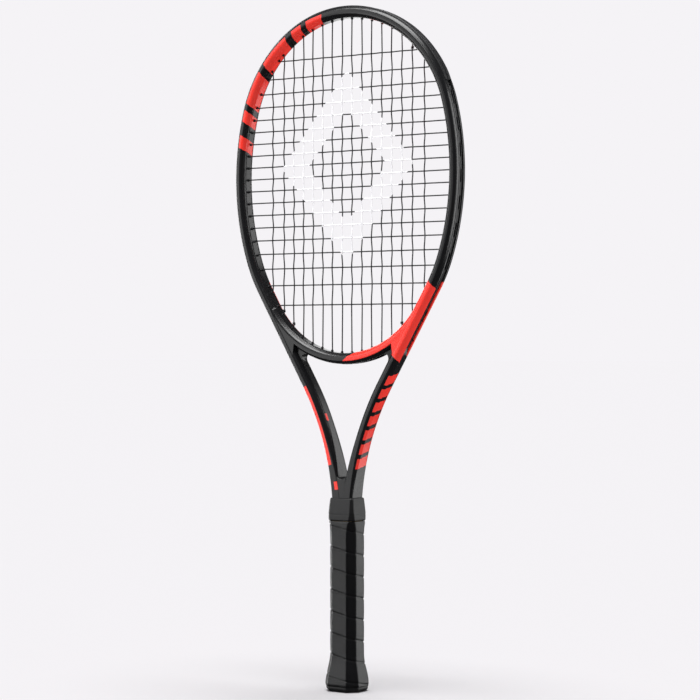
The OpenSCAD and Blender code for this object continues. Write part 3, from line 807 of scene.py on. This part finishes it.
def monofilament():
    material, tree, shader = newMaterial("polyesterMonofilament")
    place = addNode(tree, "ShaderNodeTexCoord").outputs["Object"]
    split = addNode(tree, "ShaderNodeSeparateXYZ", None, {0: place})
    reach = []
    for axis, middle, half in zip((0, 2), stringLook["stencilCentre"], stringLook["stencilHalf"]):
        measure = split.outputs[axis]
        for operation, value in (("SUBTRACT", middle * mm), ("DIVIDE", half * mm), ("ABSOLUTE", 0)):
            step = addNode(tree, "ShaderNodeMath", {"operation": operation}, {0: measure, 1: value})
            measure = step.outputs[0]
        reach.append(measure)
    total = addNode(tree, "ShaderNodeMath", {"operation": "ADD"}, {0: reach[0], 1: reach[1]})
    inner = stringLook["bandInner"]
    inBand = addNode(tree, "ShaderNodeMath", {"operation": "COMPARE"},
                     {0: total.outputs[0], 1: (1 + inner) / 2, 2: (1 - inner) / 2})
    # the ink is a little patchy, in specks about a millimetre across
    patch = addNode(tree, "ShaderNodeTexNoise", Vector=place, Scale=900, Detail=2)
    cover = addNode(tree, "ShaderNodeMapRange", Value=patch.outputs["Fac"],
                    From_Min=0.3, From_Max=0.45, To_Min=0.75)
    amount = addNode(tree, "ShaderNodeMath", {"operation": "MULTIPLY"},
                     {0: inBand.outputs[0], 1: cover.outputs[0]})
    tone = addNode(tree, "ShaderNodeMix", {"data_type": "RGBA"}, {
        0: amount.outputs[0], 6: toLinear(stringLook["dark"]), 7: toLinear(stringLook["ink"])})
    fill(tree, shader, {"Base Color": tone.outputs[2], "Roughness": stringLook["roughness"]})
    return material


stringMaterial = monofilament()
weaveHalf = stringR + strings["weaveGap"]
allX = [-x for x in reversed(mainX)] + mainX


def leave(hole, reach):
    return np.array([hole[0] + hole[2] * reach, 0.0, hole[1] + hole[3] * reach])


def flip(point):
    return np.array([-point[0], point[1], point[2]])


def wave(crossings, where, sign):
    for k in range(len(crossings) - 1):
        if crossings[k] <= where <= crossings[k + 1]:
            t = (where - crossings[k]) / (crossings[k + 1] - crossings[k])
            return sign * (-1) ** k * weaveHalf * math.cos(math.pi * t)
    return 0.0


def wovenLine(start, end, crossings, axis, sign):
    perGap = strings["perGap"]
    places = [mix(a, b, i / perGap) for a, b in zip(crossings, crossings[1:]) for i in range(perGap)]
    line = [start]
    for where in places + [crossings[-1]]:
        point = start + (end - start) * (where - start[axis]) / (end[axis] - start[axis])
        point[1] = wave(crossings, where, sign)
        line.append(point)
    return line + [end]


def outlineLoop(first, last, side, aside=0.0):
    line, run0, run1 = [], holeRun(first), holeRun(last)
    for run in np.linspace(run0, run1, max(5, int(abs(run1 - run0) / 2.5))):
        x, z, turn = (np.interp(run, [row[3] for row in path], [row[i] for row in path]) for i in (0, 1, 2))
        p = np.array([x, z]) + loopN * heading(turn)
        line.append(np.array([side * p[0], aside, p[1]]))
    return line


def holeRun(hole):
    turn = hole[4]
    for k, (centre, radius, start, end) in enumerate(arcs):
        if turn <= end - 1e-9:
            return sum((a[3] - a[2]) * a[1] for a in arcs[:k]) + (turn - start) * radius
    return runAt(cheekEnd[1]) + (cheekEnd[0] - mouth * outDir[0] - hole[0]) / math.sin(slant)


def mainLines():
    lines = []
    zUp = list(reversed(crossZ))
    clear = strings["clear"]
    for i, x in enumerate(allX):
        k = strings["mains"] - 1 - i if i < strings["mains"] else i - strings["mains"]
        bottom, top = bottomHoles[k], topHoles[k]
        past = strings["cornerExtra"].get(k, 0)
        met = [z for z in zUp if bottom[1] + clear < z < top[1] - clear
               and abs(x) < sideHoles[crossZ.index(z)][0] - clear]
        # the sign at the lowest crossing alternates from main to main
        sign = 1 if (i + len(crossZ) - 1 - zUp.index(met[0])) % 2 else -1
        inner = wovenLine(leave(bottom, 0), leave(top, 0), met, 2, sign)
        line = [leave(bottom, tubeReach + past)] + inner + [leave(top, tubeReach)]
        lines.append(line if x > 0 else [flip(p) for p in line])
    for first, second in ((0, 1), (2, 3), (4, 5), (6, 7)):
        for side in (1, -1):
            lines.append(outlineLoop(topHoles[first], topHoles[second], side,
                                     strings["overlap"] if first == 6 else 0.0))
    spans = [(-math.asin(bottomHoles[0][2]), math.asin(bottomHoles[0][2]))]
    for i in (1, 3):
        a, b = math.asin(bottomHoles[i][2]), math.asin(bottomHoles[i + 1][2])
        spans += [(a, b), (-b, -a)]
    for a, b in spans:
        spots = [onBridge(bridgeR + halfT + loopN, t) for t in np.linspace(a, b, 9)]
        lines.append([np.array([x, 0.0, z]) for x, z in spots])
    return lines


def crossLines():
    lines = []
    for j, hole in enumerate(sideHoles):
        met = [x for x in allX if abs(x) < hole[0] - strings["clear"]]
        sign = -1 if (allX.index(met[0]) + j) % 2 else 1
        inner = wovenLine(flip(leave(hole, 0)), leave(hole, 0), met, 0, sign)
        lines.append([flip(leave(hole, tubeReach))] + inner + [leave(hole, tubeReach)])
    for first, side in ((1, 1), (0, -1)):
        for j in range(first, 15 + first, 2):
            lines.append(outlineLoop(sideHoles[j], sideHoles[j + 1], side,
                                     -strings["overlap"] if j == 0 else 0.0))
    return lines


# hitches: the free end goes twice round an outer main, just inside the head
hitch = {"radius": 1.15, "from": 1.6, "turns": 2, "steps": 28, "stringRadius": 0.5}


def hitchLines():
    r, lines = hitch["radius"], []
    for side, hole, inward in ((1, bottomHoles[5], 1), (-1, bottomHoles[5], 1), (1, topHoles[6], -1),
                               (-1, bottomHoles[6], 1)):
        lines.append([np.array([side * hole[0] + r * math.cos(t), r * math.sin(t),
                                hole[1] + inward * (hitch["from"] + r * t / (2 * math.pi))])
                      for t in np.linspace(0, 2 * math.pi * hitch["turns"], hitch["steps"] + 1)])
    return lines


def makeStrings():
    tree = stringTree()
    for name, node, lines in (("mainStringRun", "main_strings", mainLines()),
                              ("crossStringRun", "cross_strings", crossLines())):
        piece = grow(name, linesMesh(name, lines), tree, {"Finish": stringMaterial})
        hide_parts(node)
    piece = grow("stringHitches", linesMesh("stringHitches", hitchLines()), tree,
                 {"Radius": hitch["stringRadius"] * mm, "Finish": stringMaterial})
    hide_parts("string_knots")


def makeGrommets():
    tree = grommetTree()
    guardCount = strings["guardCrosses"]
    sets = {
        "guardGrommets": [(h, s) for h in topHoles + sideHoles[:guardCount] for s in (1, -1)],
        "rightGrommets": [(h, 1) for h in sideHoles[guardCount:] + bottomHoles[7:]],
        "leftGrommets": [(h, -1) for h in sideHoles[guardCount:] + bottomHoles[7:]],
        "throatGrommets": [(h, s) for h in bottomHoles[:7] for s in (1, -1)],
    }
    for name, holes in sets.items():
        mesh = bpy.data.meshes.new(name)
        sunk = grommet["sunk"]
        spots = [(s * (h[0] + h[2] * sunk), 0, h[1] + h[3] * sunk) for h, s in holes]
        mesh.from_pydata([tuple(c * mm for c in spot) for spot in spots], [], [])
        aim = mesh.attributes.new("aim", "FLOAT_VECTOR", "POINT")
        aim.data.foreach_set("vector", np.array([(s * h[2], 0, h[3]) for h, s in holes], np.float32).ravel())
        piece = grow(name, mesh, tree, {"Finish": nylonMaterial})
        if name == "guardGrommets":
            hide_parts("guard_grommets")


makeStrings()
makeGrommets()
print("strings, hitches and grommets made")

# handle: an octagon with soft corners that flares at the butt, in mm
handle = {
    "halfWidth": 15.9, "halfDepth": 14.2, "cut": 7.1, "flare": 4.4, "flareTop": 38.0, "flareLow": 6.0,
    "gripTop": 170.0, "gripFoot": 5.0, "gripThick": 1.7, "cornerRadius": 1.9,
    "pitch": 21.5, "seamAtFront": 56.4, "seamDepth": 0.85, "seamGentle": 1.7, "seamSteep": 0.5, "crown": 0.22,
    "ringStep": 0.8, "perFlat": 6, "cornerGap": 0.25, "tuckHeight": 5.0, "tuckIn": 4.4,
    # from the grip's shoulder to the neck: the corner cut by height, and what comes off width and depth
    "cutBy": ((156, 163, 170, 177, 184, 191, 193), (7.1, 6.6, 4.8, 3.5, 2.8, 2.3, 2.2)),
    "slimBy": ((171.5, 178, 184, 191.8, 193), (0, 0.3, 1.0, 1.8, 2.0), (0, 0.5, 1.2, 2.3, 2.5)),
}


def octagonRing(a, b, c, radius=handle["cornerRadius"]):
    perFlat, gap = handle["perFlat"], handle["cornerGap"]
    tangent = radius * 0.414
    corners = [Vector(p) for p in ((a, c - b), (a, b - c), (a - c, b), (c - a, b), (-a, b - c), (-a, c - b),
                                   (c - a, -b), (a - c, -b))]
    points = []
    for i, here in enumerate(corners):
        before, after = corners[i - 1], corners[(i + 1) % 8]
        backLen, onLen = (before - here).length, (after - here).length
        d = min(tangent, backLen * 0.3, onLen * 0.3)
        start, stop = here + (before - here) * d / backLen, here + (after - here) * d / onLen
        for t in (0, 0.25, 0.5, 0.75, 1):
            points.append(start * (1 - t) ** 2 + here * 2 * t * (1 - t) + stop * t * t)
        dNext = min(tangent, onLen * 0.3)
        a0, a1 = stop + (after - here) * gap / onLen, after - (after - here) * (dNext + gap) / onLen
        for k in range(perFlat + 1):
            points.append(a0 + (a1 - a0) * k / perFlat)
    lengths = [0.0]
    for p, q in zip(points, points[1:] + points[:1]):
        lengths.append(lengths[-1] + (q - p).length)
    return [(p.x, p.y, at / lengths[-1]) for p, at in zip(points, lengths)]


def ringAt(z, size, *radius):
    return [(x, y, z) for x, y, _ in octagonRing(*size, *radius)]


def flare(z):
    if z > handle["flareTop"]:
        return 0.0
    t = min(1.0, (handle["flareTop"] - z) / (handle["flareTop"] - handle["flareLow"]))
    return handle["flare"] * (1 - math.cos(math.pi * t)) / 2


def tuck(z):
    height = handle["tuckHeight"]
    return 0.0 if z > height else handle["tuckIn"] * (1 - math.sqrt(1 - ((height - z) / height) ** 2))


def handleSize(z, inset):
    g = flare(z) - tuck(z) - inset
    cut = float(np.interp(z, *handle["cutBy"]))
    levels, offWidth, offDepth = handle["slimBy"]
    a = handle["halfWidth"] + g - float(np.interp(z, levels, offWidth))
    b = handle["halfDepth"] + g * 0.92 - float(np.interp(z, levels, offDepth))
    return (a, b, cut + g * 0.45)


def seamDip(z, share, shareFront):
    phase = (z - handle["seamAtFront"]) / handle["pitch"] + share - shareFront
    above = (phase % 1) * handle["pitch"]
    below = handle["pitch"] - above
    dip = 0.0
    if above < handle["seamSteep"]:
        dip = handle["seamDepth"] * (1 - smooth(above / handle["seamSteep"]))
    elif below < handle["seamGentle"]:
        dip = handle["seamDepth"] * (1 - below / handle["seamGentle"]) ** 1.3
    return dip + handle["crown"] * (1 - math.sin(math.pi * (phase % 1)))


def loftRings(name, rings, **rest):
    points = [p for ring in rings for p in ring]
    return newPiece(name, points, quads(len(rings), len(rings[0]), True), **rest)


def makeGrip(material):
    base = octagonRing(*handleSize(100, 0))
    shareFront = next(0.5 * (a[2] + b[2]) for a, b in zip(base, base[1:]) if a[0] <= 0 <= b[0] and a[1] < 0)
    rings = []
    count = int((handle["gripTop"] - handle["gripFoot"]) / handle["ringStep"])
    for r in range(count + 1):
        z = mix(handle["gripFoot"], handle["gripTop"], r / count)
        ring = octagonRing(*handleSize(z, 0))
        edge = smooth(min(z - handle["gripFoot"], handle["gripTop"] - z) / 2.5)
        out = []
        for x, y, share in ring:
            dip = seamDip(z, share, shareFront) * edge + 0.5 * (1 - edge)
            away = math.hypot(x, y)
            out.append((x * (1 - dip / away), y * (1 - dip / away), z))
        rings.append(out)
    for z in (handle["gripTop"], 100.0, handle["flareTop"], 30.0, 22.0, 14.0, handle["gripFoot"]):
        rings.append(ringAt(z, handleSize(z, handle["gripThick"])))
    piece = loftRings("gripWrap", rings, material=material)
    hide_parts("grip_wrap")


# in mm; its inside as height, half width, half depth and corner cut, from the top down
collar = {
    "low": 170.4, "top": 193.0, "rings": 34, "lip": 0.55, "lipHeight": 0.9,
    "step": 0.25, "stepFrom": 176.4, "stepTo": 177.2,
    "inside": ((193.0, 13.4, 11.2, 2.4), (191.8, 13.4, 11.2, 2.4), (184, 13.9, 12.3, 3.4),
               (178, 14.6, 12.75, 4.0), (171.4, 14.95, 13.25, 4.8), (170.4, 14.95, 13.25, 4.8)),
}


def makeCollar(material):
    low, top = collar["low"], collar["top"]
    rings = []
    for z in np.linspace(low, top, collar["rings"]):
        edge = collar["lip"] * (1 - smooth(min(z - low, top - z) / collar["lipHeight"]))
        # a shallow moulded groove low on the collar
        band = collar["step"] if collar["stepFrom"] < z < collar["stepTo"] else 0.0
        rings.append(ringAt(z, handleSize(z, edge + band), 1.6))
    for z, *size in collar["inside"]:
        rings.append(ringAt(z, size, 1.2))
    piece = loftRings("rubberCollar", rings, material=material, body="collar")
    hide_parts("rubber_collar")


# the door's opening as half width, half depth and the power that squares it off
cap = {"opening": (10, 7, 12), "openingRings": ((8, 0), (0.5, 0), (0.15, 0.15), (0, 0.45)), "fit": 0.1}


def makeCap(material):
    rings, core = [], handle["gripThick"]
    for z in (0, 0.06, 0.25, 0.6, 1.1, 1.8, 2.7, 3.8, 4.6, 5.0):
        rings.append(ringAt(z, handleSize(z, core * smooth(z / 5) * 0.5), 2.4))
    for z in (5.3, 9, 13, 17, 21, 25, 30):
        rings.append(ringAt(z, handleSize(z, core + cap["fit"]), 1.5))
    for z in (30, 8):
        size = (handle["halfWidth"] - core, handle["halfDepth"] - core, handle["cut"] - core * 0.45)
        rings.append(ringAt(z, size, 1.2))
    wide, deep, power = cap["opening"]
    for z, wider in cap["openingRings"]:
        out = []
        for x, y, _ in octagonRing(10, 10, 4.1, 0.2):
            angle = math.atan2(y, x)
            r = ((abs(math.cos(angle)) / (wide + wider)) ** power
                 + (abs(math.sin(angle)) / (deep + wider)) ** power) ** (-1 / power)
            out.append((r * math.cos(angle), r * math.sin(angle), z))
        rings.append(out)
    piece = loftRings("buttCap", rings, material=material, sharpen=40)
    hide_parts("butt_cap")


def simpleFinish(name, colour, second, scale, roughness, bumpScale, bumpStrength, bumpDistance, metallic=0.0,
                 kind="ShaderNodeTexNoise"):
    material, tree, shader = newMaterial(name)
    grainBump(tree, shader, bumpScale, bumpStrength, bumpDistance, kind)
    place = addNode(tree, "ShaderNodeTexCoord").outputs["Object"]
    cloud = addNode(tree, "ShaderNodeTexNoise", Vector=place, Scale=scale, Detail=4)
    tone = addNode(tree, "ShaderNodeMix", {"data_type": "RGBA"},
                   {0: cloud.outputs["Fac"], 6: toLinear(colour), 7: toLinear(second)})
    fill(tree, shader, {"Base Color": tone.outputs[2], "Roughness": roughness, "Metallic": metallic})
    return material


# tacky polyurethane on felt: black, softly glossy, pebbled about every millimetre
gripMaterial = simpleFinish("tackyPolyurethaneGrip", "#08080a", "#101012", 90, 0.3, 1100, 0.35, 0.0002,
                            kind="ShaderNodeTexVoronoi")
# moulded rubber: dark, with a dull gloss
rubberMaterial = simpleFinish("mouldedRubber", "#0d0d0f", "#151517", 70, 0.4, 2200, 0.2, 0.0001)
# moulded ABS, fine texture that keeps a soft gloss
capMaterial = simpleFinish("texturedAbs", "#131315", "#1a1a1c", 60, 0.4, 1800, 0.2, 0.0001)
# cast polyurethane foam: cream, open-pored and dull
foamMaterial = simpleFinish("castPolyurethaneFoam", "#cdb98f", "#bfa878", 120, 0.9, 900, 0.6, 0.0003)
# zinc-plated steel wire: bright, drawn
stapleMaterial = simpleFinish("zincPlatedSteel", "#c9cbce", "#a9acb0", 300, 0.3, 2500, 0.1, 0.00005,
                              metallic=1.0)
# vinyl finishing tape: black and shiny
tapeMaterial = simpleFinish("vinylTape", "#101012", "#18181a", 80, 0.3, 700, 0.15, 0.0001)


# the hidden pieces keep their CAD meshes and take a finish
def coatKept():
    for node, material in (("pallet_front", foamMaterial), ("pallet_back", foamMaterial),
                           ("butt_cap_door", capMaterial), ("cap_staples", stapleMaterial),
                           ("finishing_tape", tapeMaterial)):
        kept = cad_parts[node]
        if not kept.material_slots:
            kept.data.materials.append(material)
        for slot in kept.material_slots:
            slot.material = material


makeGrip(gripMaterial)
makeCollar(rubberMaterial)
makeCap(capMaterial)
coatKept()
print("handle made")
